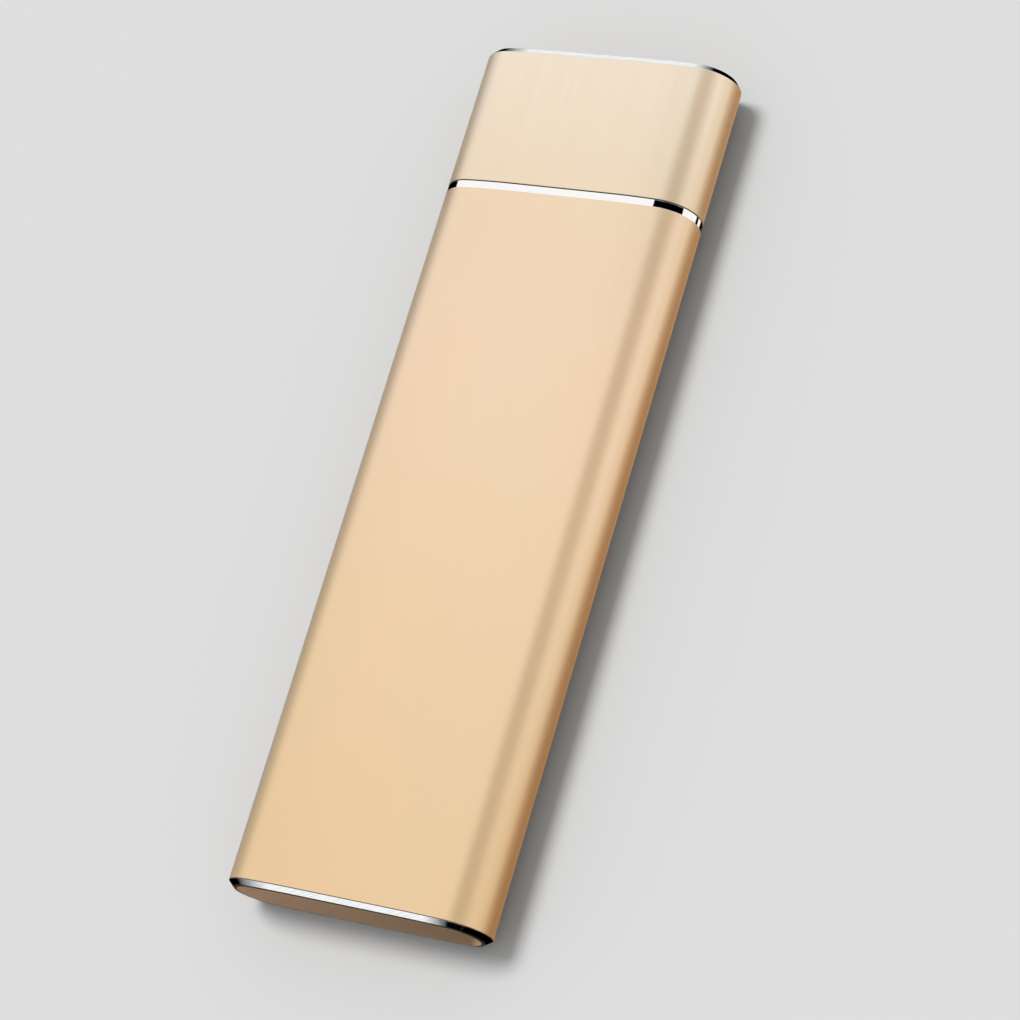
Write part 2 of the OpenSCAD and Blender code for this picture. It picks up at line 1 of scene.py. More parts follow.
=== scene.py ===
import bmesh
import bpy
import numpy as np
from math import radians
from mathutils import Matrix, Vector


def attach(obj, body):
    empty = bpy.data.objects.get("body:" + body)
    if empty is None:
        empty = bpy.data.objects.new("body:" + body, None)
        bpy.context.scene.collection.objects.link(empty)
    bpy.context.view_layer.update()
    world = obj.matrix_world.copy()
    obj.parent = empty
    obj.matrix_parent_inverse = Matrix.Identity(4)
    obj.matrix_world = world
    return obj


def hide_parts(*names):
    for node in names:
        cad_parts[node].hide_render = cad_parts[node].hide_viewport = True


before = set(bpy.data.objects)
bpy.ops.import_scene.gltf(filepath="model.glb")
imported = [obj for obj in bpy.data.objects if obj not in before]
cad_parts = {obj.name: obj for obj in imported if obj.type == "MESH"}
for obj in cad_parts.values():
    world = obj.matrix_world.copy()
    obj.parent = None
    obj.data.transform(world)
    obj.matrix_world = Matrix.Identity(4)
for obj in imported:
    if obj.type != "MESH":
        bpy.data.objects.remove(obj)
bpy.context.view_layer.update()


# Camera
# A long lens looks down on the drive from beyond its tail and off its right side. Its place, turn
# and length were worked out from the outline, the ring and the two polished edges in the picture.

lens = bpy.data.cameras.new("camera")
lens.sensor_width = 36
lens.lens = 127.3
lens.clip_end = 20
camera = bpy.data.objects.new("camera", lens)
camera.location = (0.19132, -0.12574, 0.36928)
camera.rotation_euler = [radians(turn) for turn in (23.79, 21.39, 17.34)]
bpy.context.scene.collection.objects.link(camera)
bpy.context.scene.camera = camera


# Sleeve
# One length of extruded aluminium tube, bead blasted, anodised pale gold, then bright cut round
# the tail to a mirror edge. It lies between two fine dark lines: the cut film above it, and on its
# foot a line of painted shade, a black coat that darkens the seam between sleeve and end plate.
# Rails inside hold the main board.

case_w, case_t, nose_r, flat_w, wall = 34, 9.8, 4.6, 13, 1.2
mid_z = case_t / 2
y_tail, y_head, ring_y, cap_y = -55, 55, 35.33, 36.4
tail_edge_len, tail_edge_in, seam_shade_share = 0.68, 0.8, 0.14
rebate_in, plate_y = 0.85, -54
bore_from, bore_to, rail_lead = -50.2, 31.03, 0.02
bright_coat, film_coat, tail_seam_shade_coat = 1, 2, 3
rail_x, slot_low, slot_high, rail_top = 13.005, -2.68, -1.58, -0.78


def whole_turn(quarter):
    """Once round a section that is the same in all four quarters. The columns are x, z and the
    outward normal's x and z; the quarter runs from the top middle to the right-hand side."""
    right = np.concatenate([quarter, quarter[-2::-1] * [1, -1, 1, -1]])
    return np.concatenate([right, right[-2:0:-1] * [-1, 1, -1, 1]])


def case_outline():
    """The case's section: a flat strip, a wide shoulder arc, then the nose arc, all tangent. Each
    point is its arc's centre plus the arc's radius times the normal, whose angle runs from
    upright to level. Drawn in by some depth, the outline is itself less that depth of normal."""
    nose_x = case_w / 2 - nose_r
    reach = nose_x - flat_w / 2
    shoulder_r = (mid_z**2 - nose_r**2 + reach**2) / (case_t - 2 * nose_r)
    turn = np.arcsin(reach / (shoulder_r - nose_r))
    bore_r = nose_r - wall
    stops = [np.arccos(-z / bore_r) for z in (slot_low, slot_high, rail_top)]
    stops.append(np.arcsin((rail_x - nose_x) / bore_r))
    flat = np.array([0, 1.35, 2.7, 4.05, 5.3])
    shoulder = np.linspace(0, turn, 12)[:-1]
    nose = np.sort(np.concatenate([np.linspace(turn, np.pi / 2, 44), stops]))
    angle = np.concatenate([0 * flat, shoulder, nose])
    parts = [len(flat), len(shoulder), len(nose)]
    centre_x = np.concatenate([flat, np.repeat([flat_w / 2, nose_x], parts[1:])])
    centre_z = np.repeat([mid_z - shoulder_r, mid_z - shoulder_r, 0], parts)
    radius = np.repeat([shoulder_r, shoulder_r, nose_r], parts)
    x = centre_x + radius * np.sin(angle)
    z = centre_z + radius * np.cos(angle)
    return whole_turn(np.stack([x, z, np.sin(angle), np.cos(angle)], axis=1))


def eased(corners, radii, closed=True, steps=5):
    """A path through corners in which each is cut by a parabola that starts and ends its own
    radius away. One more point just beyond each end keeps the runs between them flat in the
    light, so that a corner takes three points more than its steps. An open path keeps its first
    and last corner as they are, and their radii count for nothing."""
    corners = np.array(corners, float)
    sizes = np.array(radii, float)[:, None]
    ahead = np.roll(corners, -1, axis=0) - corners
    behind = np.roll(corners, 1, axis=0) - corners
    ahead *= sizes / np.linalg.norm(ahead, axis=1, keepdims=True)
    behind *= sizes / np.linalg.norm(behind, axis=1, keepdims=True)
    t = np.linspace(0, 1, steps + 1)[:, None, None]
    arc = corners + (1 - t) ** 2 * behind + t**2 * ahead
    turned = np.concatenate([[corners + 1.4 * behind], arc, [corners + 1.4 * ahead]])
    path = np.swapaxes(turned, 0, 1).reshape(-1, corners.shape[1])
    taken = steps + 3
    return path if closed else np.concatenate([corners[:1], path[taken:-taken], corners[-1:]])


def along_y(outline, path):
    """The outline carried along the case: row by row it is drawn in by the path's first column
    and stands at the path's second."""
    flat = outline[None, :, :2] - path[:, None, :1] * outline[None, :, 2:]
    y = np.broadcast_to(path[:, None, 1:], flat[..., :1].shape)
    return np.concatenate([flat[..., :1], y, flat[..., 1:] + mid_z], axis=2)


def patch(grid, loop=False, lids=(), coat=None):
    """Corners and faces of a surface of rows that close round on themselves. With loop the last
    row joins the first; lids are the rows that a flat face closes; coat is each row's finish."""
    rows, columns = grid.shape[:2]
    j, i = np.meshgrid(np.arange(rows if loop else rows - 1), np.arange(columns), indexing="ij")
    j2, i2 = (j + 1) % rows, (i + 1) % columns
    corners = np.stack([j * columns + i, j * columns + i2, j2 * columns + i2, j2 * columns + i], 2)
    coats = np.zeros_like(j) if coat is None else np.broadcast_to(coat[: len(j), None], j.shape)
    faces = corners.reshape(-1, 4).tolist()
    faces += [list(range(row * columns, (row + 1) * columns)) for row in lids]
    return grid.reshape(-1, 3), faces, [*coats.ravel().tolist(), *[0] * len(lids)]


def piece(name, patches, *materials, sharp=33):
    """One mesh of patches given in millimetres: equal points are welded, the faces turned out,
    and the shading is smooth except where faces meet at more than the sharp angle."""
    starts = np.cumsum([0] + [len(points) for points, _, _ in patches])
    points = np.concatenate([points for points, _, _ in patches]) / 1000
    faces = [[int(start) + k for k in face] for start, p in zip(starts, patches) for face in p[1]]
    mesh = bpy.data.meshes.new(name)
    mesh.from_pydata(points.tolist(), [], faces)
    mesh.polygons.foreach_set("material_index", [coat for p in patches for coat in p[2]])
    shell = bmesh.new()
    shell.from_mesh(mesh)
    bmesh.ops.remove_doubles(shell, verts=shell.verts, dist=5e-7)
    bmesh.ops.recalc_face_normals(shell, faces=shell.faces)
    shell.to_mesh(mesh)
    shell.free()
    mesh.polygons.foreach_set("use_smooth", [True] * len(mesh.polygons))
    mesh.set_sharp_from_angle(angle=radians(sharp))
    made = bpy.data.objects.new(name, mesh)
    for material in materials:
        mesh.materials.append(material)
    bpy.context.scene.collection.objects.link(made)
    return made


def colour(red, green, blue):
    """A colour as a screen shows it, from 0 to 255, turned into amounts of light."""
    seen = np.array([red, green, blue]) / 255
    return tuple(np.where(seen <= 0.04045, seen / 12.92, ((seen + 0.055) / 1.055) ** 2.4))


def finish(name, tint, metal, roughness, **sockets):
    """A material with one Principled shader, and the plain values on its own sockets."""
    material = bpy.data.materials.new(name)
    material.use_nodes = True
    shader = material.node_tree.nodes["Principled BSDF"]
    plain = {"Base Color": (*tint, 1), "Metallic": metal, "Roughness": roughness, **sockets}
    for socket, value in plain.items():
        shader.inputs[socket].default_value = value
    return material


def add(material, kind, sources, **settings):
    """One more node: each source is a plain value or another node's output."""
    node = material.node_tree.nodes.new(kind)
    for setting, value in settings.items():
        setattr(node, setting, value)
    for socket, source in sources.items():
        if isinstance(source, bpy.types.NodeSocket):
            material.node_tree.links.new(source, node.inputs[socket])
        else:
            node.inputs[socket].default_value = source
    return node


def grain(material, per_mm, stretch=(1, 1, 1), detail=2.0, turn=0):
    """Noise that stands still on the piece: so many grains to a millimetre, stretched by axis
    once they are turned about z by an angle in degrees."""
    place = add(material, "ShaderNodeTexCoord", {}).outputs["Object"]
    size = [s / (1000 * per_mm) for s in stretch]
    lay = {"Vector": place, "Scale": size, "Rotation": (0, 0, radians(turn))}
    laid = add(material, "ShaderNodeMapping", lay, vector_type="TEXTURE")
    noise = {"Vector": laid.outputs["Vector"], "Scale": 1.0, "Detail": detail}
    return add(material, "ShaderNodeTexNoise", noise).outputs["Fac"]


def spread(material, source, low, high, into=None, from_low=0.3, from_high=0.7):
    """Noise carried over to values between low and high, and into one of the shader's sockets."""
    sources = {"Value": source, "From Min": from_low, "From Max": from_high}
    sources |= {"To Min": low, "To Max": high}
    value = add(material, "ShaderNodeMapRange", sources).outputs["Result"]
    if into:
        shader = material.node_tree.nodes["Principled BSDF"]
        material.node_tree.links.new(value, shader.inputs[into])
    return value


def tints(material, source, *stops):
    """The base colour taken from a ramp of (place, colour) stops."""
    ramp = add(material, "ShaderNodeValToRGB", {"Fac": source})
    band = ramp.color_ramp
    for k, (place, tint) in enumerate(stops):
        stop = band.elements[k] if k < 2 else band.elements.new(place)
        stop.position, stop.color = place, (*tint, 1)
    shader = material.node_tree.nodes["Principled BSDF"]
    material.node_tree.links.new(ramp.outputs["Color"], shader.inputs["Base Color"])
    return ramp.outputs["Color"]


def relief(material, *layers):
    """Bumps laid one over another, each a height and its depth in millimetres."""
    normal = None
    for height, depth in layers:
        sources = {"Height": height, "Distance": depth / 1000, "Strength": 1.0}
        if normal:
            sources["Normal"] = normal
        normal = add(material, "ShaderNodeBump", sources).outputs["Normal"]
    shader = material.node_tree.nodes["Principled BSDF"]
    material.node_tree.links.new(normal, shader.inputs["Normal"])


def anodised(name, tint):
    """Bead-blasted and dyed aluminium: a soft satin with a fine grain, the faint draw lines of
    the extrusion under it, and a dye that is never quite even. Over it lies the clear oxide
    film, which pales the gold where it is seen aslant."""
    film = {"Specular IOR Level": 0.2, "Coat Weight": 0.5, "Coat Roughness": 0.34, "Coat IOR": 1.6}
    material = finish(name, tint, metal=0.7, roughness=0.36, **film)
    tint = np.array(tint)
    cloud = grain(material, 0.045, stretch=(1, 2.2, 1), detail=1.0)
    tints(material, cloud, (0.3, tint * (1.01, 0.985, 0.97)), (0.7, tint * (0.99, 1.012, 1.02)))
    blast = grain(material, 5.5, detail=1.0)
    draw = grain(material, 3.0, stretch=(1, 400, 1), detail=1.0)
    spread(material, draw, 0.33, 0.39, into="Roughness")
    relief(material, (blast, 0.0006), (draw, 0.0004))
    return material


def bright_cut(name, tint, roughness, streak):
    """Bare metal turned with a diamond: close to a mirror, with fine slanting lines along the
    cut, in which it is a streak darker."""
    material = finish(name, tint, metal=1.0, roughness=roughness)
    lines = grain(material, 7.0, stretch=(24, 1, 24), detail=1.0, turn=20)
    tints(material, lines, (0.35, np.array(tint) * (1 - streak)), (0.6, tint))
    spread(material, lines, roughness * 0.7, roughness * 1.3, into="Roughness")
    relief(material, (lines, 0.00005))
    return material


def with_rails(outline):
    """The bore with the rails in it. Beside the board each side is filled up square below its
    slot and has a ledge above it: the outline's points there move onto their straight edges."""
    right = outline[: len(outline) // 2 + 1, :2] - wall * outline[: len(outline) // 2 + 1, 2:]
    x, z = right.T.copy()
    for high, low in ((rail_top, slot_high), (slot_low, -mid_z)):
        part = np.flatnonzero((x > rail_x - 1e-6) & (z < high + 1e-6) & (z > low - 1e-6))
        ends = right[part[[0, 0, -1, -1]]]
        ends[1:3, 0] = rail_x
        place = np.linspace(0, len(part) - 1, 4).round()
        for axis in (0, 1):
            right[part, axis] = np.interp(np.arange(len(part)), place, ends[:, axis])
    bore = np.concatenate([right, right[-2:0:-1] * [-1, 1]])
    return np.concatenate([bore, 0 * bore], axis=1)


outline = case_outline()
seam_shade_line = (tail_edge_in * (1 - seam_shade_share), y_tail + tail_edge_len * seam_shade_share)
tube = [(0, ring_y), (0, y_tail + tail_edge_len), seam_shade_line, (tail_edge_in, y_tail)]
tube += [(rebate_in, y_tail), (rebate_in, plate_y), (wall, plate_y), (wall, ring_y)]
skin = eased(tube, [0.05, 0.055, 0.004, 0.012, 0.012, 0.02, 0.02, 0.05])
per_corner = len(skin) // len(tube)
railed = with_rails(outline)
inside = np.array([(0, bore_from + rail_lead), (0, bore_to - rail_lead)])
rows = [
    along_y(outline, skin[:-per_corner]),
    along_y(outline, np.array([(wall, bore_from)])),
    along_y(railed, inside),
    along_y(outline, np.array([(wall, bore_to)])),
    along_y(outline, skin[-per_corner:]),
]
shell_rows = np.concatenate(rows)

# From the tail's outer corner inwards: cut film, bright metal, then painted shade as far as the
# rebate.
edge_rows = np.zeros(len(shell_rows), int)
edge_rows[per_corner + 1 : per_corner + 6] = film_coat
edge_rows[per_corner + 6 : 2 * per_corner + 4] = bright_coat
edge_rows[2 * per_corner + 4 : 5 * per_corner - 3] = tail_seam_shade_coat

gold = anodised("anodised_gold_sleeve", colour(230, 195, 146))
bright_edge = bright_cut("bright_cut_edge", colour(246, 247, 248), 0.03, streak=0.11)
film_edge = finish("cut_film_edge", colour(74, 54, 38), metal=0.0, roughness=0.5)
burr = grain(film_edge, 4.0, detail=2.0)
tints(film_edge, burr, (0.3, colour(60, 44, 32)), (0.7, colour(90, 66, 46)))
spread(film_edge, burr, 0.42, 0.6, into="Roughness")
# The seam's black is painted shade: it darkens the gap where the end plate meets the sleeve.
painted_seam_shade = finish("painted_seam_shade_black", (0.014, 0.013, 0.013), metal=0.0, roughness=0.5)
seam_mottle = grain(painted_seam_shade, 1.5, detail=4.0)
tints(painted_seam_shade, seam_mottle, (0.3, (0.01, 0.01, 0.01)), (0.7, (0.024, 0.022, 0.022)))
spread(painted_seam_shade, seam_mottle, 0.4, 0.65, into="Roughness")
relief(painted_seam_shade, (seam_mottle, 0.02))
coats = [gold, bright_edge, film_edge, painted_seam_shade]
sleeve = piece("sleeve_shell", [patch(shell_rows, loop=True, coat=edge_rows)], *coats)
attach(sleeve, "root")
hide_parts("sleeve")


# Port cap
# A short cup of the same section, turned from the same aluminium and anodised with the sleeve,
# with its outer edge bright cut. Two grooves inside snap over the head block's ridges, and its
# end wall is pierced for the port and for the light pipe.

cap_edge_len, cap_edge_in, cap_inner_y = 0.8, 0.65, 53.5
face_in, floor_in = 0.8, wall + 0.15
groove_low, groove_high, groove_in, groove_x, groove_lead = 40.35, 41.45, 0.9, 4.06, 0.01
port_open_w, port_open_h, hole_rim = 9.24, 3.56, 0.08
pipe_x, pipe_hole_r = 8.5, 0.56
split_x, split_points = flat_w / 2, 26


def stadium_reach(angle, half_w, half_h):
    """How far a bar with round sides reaches from its middle at an angle: to its flat face, or
    where that would lie past the flat, to the round side, by the law of cosines."""
    straight = half_w - half_h
    flat = half_h / np.maximum(np.abs(np.sin(angle)), 1e-9)
    rise = np.maximum(half_h**2 - (straight * np.sin(angle)) ** 2, 0)
    round_end = straight * np.abs(np.cos(angle)) + np.sqrt(rise)
    return np.where(flat * np.abs(np.cos(angle)) <= straight, flat, round_end)


def pierced(front, back, middle, reach, rim):
    """A wall between two closed rows of points, with a hole through it: in over the front face to
    the hole, round its rim, through, and out over the back. Each column keeps its own angle from
    the hole's middle, so the faces run straight in to it."""
    angle = np.arctan2(front[:, 2] - mid_z, front[:, 0] - middle)
    along = np.stack([np.cos(angle), 0 * angle, np.sin(angle)], axis=1)
    centre = np.array([middle, 0, mid_z])

    def ring(extra, y):
        """The hole's outline at a depth y, drawn out by something extra."""
        return centre + [0, y, 0] + (reach(angle) + extra)[:, None] * along

    y_front, y_back = front[0, 1], back[0, 1]
    turn = np.linspace(0, np.pi / 2, 5)
    rims = [ring(rim * (1 - np.sin(a)), y_front - rim * (1 - np.cos(a))) for a in turn]
    near = ring(1.5 * rim, y_front)
    steps = np.linspace(0, 1, 4)[:-1, None, None]
    inwards = front + steps * (near - front)
    outwards = (back + steps * (ring(0, y_back) - back))[::-1]
    return np.concatenate([inwards, [near], rims, [ring(0, y_back)], outwards])


def side_of_split(row, right):
    """The part of a closed row to one side of the split line, closed by even steps along it."""
    keep = row[:, 0] > split_x - 1e-6 if right else row[:, 0] < split_x + 1e-6
    start = np.flatnonzero(keep & ~np.roll(keep, 1))[0]
    kept = np.roll(row, -start, axis=0)[: keep.sum()]
    first, last = kept[0], kept[-1]
    line = last + np.linspace(0, 1, split_points)[1:-1, None] * (first - last)
    return np.concatenate([kept, line])


cup = [(face_in, y_head), (cap_edge_in, y_head), (0, y_head - cap_edge_len), (0, cap_y)]
cup += [(wall, cap_y), (wall, cap_inner_y), (floor_in, cap_inner_y)]
skirt = eased(cup, [1, 0.03, 0.03, 0.05, 0.05, 0.03, 1], closed=False)
walls = along_y(outline, skirt)
groove_y = [groove_low - groove_lead, groove_low, groove_high, groove_high + groove_lead]
sunk = along_y(outline, np.stack([[wall, groove_in, groove_in, wall], groove_y], axis=1))
plain = along_y(outline, np.stack([[wall] * 4, groove_y], axis=1))
clip = np.where(np.abs(sunk[..., :1]) < groove_x, sunk, plain)
groove_row = 1 + 4 * per_corner
walls = np.concatenate([walls[:groove_row], clip, walls[groove_row:]])
edge_rows = np.zeros(len(walls), int)
edge_rows[per_corner - 3 : 2 * per_corner - 3] = bright_coat
ends = [
    pierced(side_of_split(walls[0], right), side_of_split(walls[-1], right), middle, reach, hole_rim)
    for right, middle, reach in (
        (False, 0, lambda a: stadium_reach(a, port_open_w / 2, port_open_h / 2)),
        (True, pipe_x, lambda a: pipe_hole_r + 0 * a),
    )
]
cap_gold = anodised("anodised_gold_cap", colour(228, 198, 151))
cap_patches = [patch(walls, coat=edge_rows), *map(patch, ends)]
cap = piece("port_cap_shell", cap_patches, cap_gold, bright_edge)
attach(cap, "root")
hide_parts("port_cap")


# Trim ring
# A narrow hoop of aluminium, turned to a mirror and left undyed. It is pushed on to the head
# block against the sleeve, and a hair's breadth of black shows between it and the cap.

ring_w, ring_in = 0.93, 0.04
hoop = [(ring_in, ring_y + ring_w), (ring_in, ring_y), (wall, ring_y), (wall, ring_y + ring_w)]
mirror = bright_cut("mirror_trim", colour(250, 250, 250), 0.02, streak=0.02)
hoop_rows = along_y(outline, eased(hoop, [0.02] * 4))
ring = piece("trim_ring_hoop", [patch(hoop_rows, loop=True)], mirror)
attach(ring, "root")
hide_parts("trim_ring")


# End plate
# A flat plate stamped from aluminium sheet, dyed with the sleeve, and set into the rebate at the
# tail. Its bevelled edge is coated black: painted shade that shows the seam as a thin dark line.

plate_in, plate_bevel, plate_face_in, plate_seam_shade_coat = 1.05, 0.12, 1.65, 1
stamped = [(plate_face_in, y_tail), (plate_in + plate_bevel, y_tail)]
stamped += [(plate_in, y_tail + plate_bevel), (plate_in, plate_y), (plate_face_in, plate_y)]
plate_rows = along_y(outline, eased(stamped, [1, 0.02, 0.02, 0.04, 1], closed=False))
plate_gold = anodised("anodised_gold_plate", colour(222, 184, 142))
seam_rows = np.zeros(len(plate_rows), int)
# The rows round the plate's bevel take the black painted shade of the seam.
seam_rows[per_corner : 3 * per_corner - 2] = plate_seam_shade_coat
plate_sheet = patch(plate_rows, lids=(0, len(plate_rows) - 1), coat=seam_rows)
plate = piece("end_plate_sheet", [plate_sheet], plate_gold, painted_seam_shade)
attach(plate, "root")
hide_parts("end_plate")


# Head block and tail plug
# Two black mouldings of glass-filled plastic. The head block joins the cap to the sleeve and has
# pillars for the board's screws; the tail plug closes the sleeve behind its plate. Both keep
# the spark-eroded grain of the mould.


def wear(material, *nodes):
    """A finish laid on the slots of nodes that keep the shape they came with."""
    for node in nodes:
        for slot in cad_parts[node].material_slots:
            slot.material = material


def moulded(name, tint, roughness):
    """Moulded plastic with the grain of a spark-eroded mould, a little cloudy with its filler."""
    material = finish(name, tint, metal=0.0, roughness=roughness)
    cloud = grain(material, 0.4, detail=3.0)
    tints(material, cloud, (0.3, np.array(tint) * 0.85), (0.7, np.array(tint) * 1.2))
    pits = grain(material, 7.0, detail=2.0)
    spread(material, pits, roughness - 0.06, roughness + 0.08, into="Roughness")
    relief(material, (pits, 0.006))
    return material


black_nylon = moulded("black_nylon", (0.018, 0.018, 0.02), 0.55)
wear(black_nylon, "head_block", "tail_plug")


# Main board, its film and its screws
# Glass-cloth laminate with copper tracks under green resist, which slides in on the sleeve's
# rails. An amber film keeps its solder off the metal, and two steel screws hold its head.


def board(name, resist, bare):
    """Laminate under coloured resist: the tracks beneath stand out a little and shine through
    paler, and the weave of the glass cloth shows as a faint net."""
    material = finish(name, resist, metal=0.0, roughness=0.32)
    place = add(material, "ShaderNodeTexCoord", {}).outputs["Object"]
    track_len, track_pitch, track_w = 0.0042, 0.0007, 0.00016
    bricks = {"Vector": place, "Scale": 1.0, "Mortar Size": track_w, "Mortar": (0, 0, 0, 1)}
    bricks |= {"Brick Width": track_len, "Row Height": track_pitch}
    bricks |= {"Color1": (1, 1, 1, 1), "Color2": (1, 1, 1, 1)}
    tracks = add(material, "ShaderNodeTexBrick", bricks, offset=0.37).outputs["Color"]
    cloth = grain(material, 1.4, stretch=(1, 3, 1), detail=1.0)
    tints(material, tracks, (0.0, resist), (1.0, bare))
    spread(material, cloth, 0.26, 0.4, into="Roughness")
    relief(material, (tracks, 0.02), (cloth, 0.003))
    return material


def turned_steel(name, tint, roughness):
    """Plated steel with the fine rings and scuffs of turning and driving."""
    material = finish(name, tint, metal=1.0, roughness=roughness)
    scuffs = grain(material, 3.0, stretch=(1, 1, 6), detail=4.0)
    spread(material, scuffs, roughness * 0.8, roughness * 1.5, into="Roughness")
    tints(material, scuffs, (0.2, np.array(tint) * 0.86), (0.8, np.array(tint)))
    relief(material, (scuffs, 0.002))
    return material


main_board = board("green_resist", colour(16, 84, 52), colour(30, 112, 70))
wear(main_board, "main_board")

amber = finish("polyimide_film", colour(205, 140, 40), metal=0.0, roughness=0.3)
creases = grain(amber, 0.25, stretch=(1, 4, 1), detail=4.0)
tints(amber, creases, (0.3, colour(188, 122, 30)), (0.7, colour(214, 152, 52)))
spread(amber, creases, 0.22, 0.42, into="Roughness")
relief(amber, (creases, 0.02))
wear(amber, "insulating_film")

screw_steel = turned_steel("zinc_plated_steel", (0.56, 0.57, 0.58), 0.28)
wear(screw_steel, "board_screws", "module_screw")


# Port
# A receptacle: a shell deep drawn from stainless sheet with a rolled mouth and four legs through
# the board, a black moulded tongue inside it, and twelve gilded contacts on each of its faces.

port_w, port_h, port_front, port_rear, shell_t = 8.94, 3.26, 54.75, 47.4, 0.3
leg_y, leg_len, leg_foot, leg_corner, leg_edge = (51.15, 47.9), 1, 1.87, 0.08, 0.04
tongue_w, tongue_t, tongue_from, tongue_front, tongue_root = 6.69, 0.7, 48.6, 54.15, 49.8
tongue_corner, tongue_edge, base_gap = 0.3, 0.12, 0.06
contact_w, contact_t, contact_front, pin_pitch, pins = 0.27, 0.06, 53.7, 0.5, 12
contact_corner, contact_edge, contact_sunk = 0.06, 0.015, 0.02


def port_outline(width, height):
    """A bar with fully round sides: straight, then a quarter of a circle, in each quarter."""
    r = height / 2
    angle = np.concatenate([np.zeros(4), np.linspace(0, np.pi / 2, 20)])
    centre = np.concatenate([np.linspace(0, width / 2 - r, 5)[:-1], np.full(20, width / 2 - r)])
    x, z = centre + r * np.sin(angle), r * np.cos(angle)
    return whole_turn(np.stack([x, z, np.sin(angle), np.cos(angle)], axis=1))


def slab(low, high, corner, edge):
    """A block between two corners: a rectangle with round corners, carried up through its height
    and drawn in a little at each end, which breaks its edges. Both ends are lidded."""
    low, high = np.array(low, float), np.array(high, float)
    half = (high[:2] - low[:2]) / 2
    angle = np.linspace(0, np.pi / 2, 7)
    quarter = [half[0] - corner + corner * np.sin(angle), half[1] - corner + corner * np.cos(angle)]
    turn = np.stack([*quarter, np.sin(angle), np.cos(angle)], axis=1)
    right = np.concatenate([turn, turn[::-1] * [1, -1, 1, -1]])
    ring = np.concatenate([right, right[::-1] * [-1, 1, -1, 1]])
    heights = [(2 * edge, low[2]), (0, low[2]), (0, high[2]), (2 * edge, high[2])]
    path = eased(heights, [1, edge, edge, 1], closed=False, steps=3)
    flat = ring[None, :, :2] - path[:, None, :1] * ring[None, :, 2:] + (low[:2] + high[:2]) / 2
    z = np.broadcast_to(path[:, None, 1:], flat[..., :1].shape)
    return patch(np.concatenate([flat, z], axis=2), lids=(0, len(path) - 1))


shell_steel = turned_steel("drawn_stainless", (0.62, 0.62, 0.63), 0.24)
rolled = [(0, port_rear), (0, port_front), (shell_t, port_front), (shell_t, port_rear)]
lip = eased(rolled, [0.03, 0.13, 0.13, 0.03])
legs = []
for x in (port_w / 2, shell_t - port_w / 2):
    for y in leg_y:
        leg_low, leg_high = (x - shell_t, y - leg_len / 2, leg_foot), (x, y + leg_len / 2, mid_z)
        legs.append(slab(leg_low, leg_high, leg_corner, leg_edge))
drawn = patch(along_y(port_outline(port_w, port_h), lip), loop=True)
shell = piece("port_shell", [drawn, *legs], shell_steel)
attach(shell, "root")
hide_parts("usb_shell")

tongue_resin = moulded("tongue_resin", (0.02, 0.02, 0.022), 0.42)
base = [(0.5, port_rear), (0, port_rear), (0, tongue_root), (0.5, tongue_root)]
base_path = eased(base, [1, 0.05, 0.08, 1], closed=False)
clear = 2 * shell_t + base_gap
base_rows = along_y(port_outline(port_w - clear, port_h - clear), base_path)
blade_low = (-tongue_w / 2, tongue_from, mid_z - tongue_t / 2)
blade_high = (tongue_w / 2, tongue_front, mid_z + tongue_t / 2)
blade = slab(blade_low, blade_high, tongue_corner, tongue_edge)
tongue_patches = [patch(base_rows, lids=(0, len(base_rows) - 1)), blade]
tongue = piece("port_tongue", tongue_patches, tongue_resin)
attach(tongue, "root")
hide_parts("usb_tongue")

gilt = turned_steel("gilded_bronze", (0.86, 0.62, 0.26), 0.22)
contacts = []
for column in range(pins):
    x = (column - (pins - 1) / 2) * pin_pitch
    for side in (1, -1):
        faces_z = sorted(mid_z + side * (tongue_t / 2 + rise) for rise in (-contact_sunk, contact_t))
        strip_low = (x - contact_w / 2, tongue_root - contact_sunk, faces_z[0])
        strip_high = (x + contact_w / 2, contact_front, faces_z[1])
        contacts.append(slab(strip_low, strip_high, contact_corner, contact_edge))
contact_rows = piece("port_contacts", contacts, gilt)
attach(contact_rows, "root")
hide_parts("usb_contacts")


# Activity lamp and light pipe
# A small lamp on the board under the foot of a clear moulded rod, which leads its light to the
# end face beside the port. The rod's tip is a low polished dome just inside the metal.

pipe_r, pipe_tip, dome_h, lamp_y = 0.5, 54.94, 0.16, 49.8
foot_z, foot_top, foot_half, foot_corner, foot_edge = 3.93, 5.4, 0.8, 0.1, 0.06

see_through = {"Transmission Weight": 0.75, "IOR": 1.5}
clear_resin = finish("clear_resin", (0.93, 0.96, 1.0), metal=0.0, roughness=0.06, **see_through)
flow = grain(clear_resin, 0.9, stretch=(1, 5, 1), detail=2.0)
spread(clear_resin, flow, 0.04, 0.16, into="Roughness")
relief(clear_resin, (flow, 0.004))
tints(clear_resin, flow, (0.3, (0.86, 0.92, 1.0)), (0.7, (0.95, 0.97, 1.0)))

round_rod = np.linspace(0, 2 * np.pi, 48, endpoint=False)
rod_outline = np.stack([np.sin(round_rod), np.cos(round_rod)] * 2, axis=1) * [pipe_r, pipe_r, 1, 1]
rise = np.linspace(0.1, np.pi / 2, 8)
dome = np.stack([pipe_r * (1 - np.sin(rise)), pipe_tip - dome_h * (1 - np.cos(rise))], axis=1)
rod_path = np.concatenate([dome, [(0, pipe_tip - 0.3), (0, lamp_y + 0.4), (0, lamp_y), (0.2, lamp_y)]])
rod = along_y(rod_outline, rod_path) + [pipe_x, 0, 0]
foot_low = (pipe_x - foot_half, lamp_y - foot_half, foot_z)
foot_high = (pipe_x + foot_half, lamp_y + foot_half, foot_top)
foot = slab(foot_low, foot_high, foot_corner, foot_edge)
pipe = piece("light_pipe_rod", [patch(rod, lids=(0, len(rod) - 1)), foot], clear_resin)
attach(pipe, "root")
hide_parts("light_pipe")

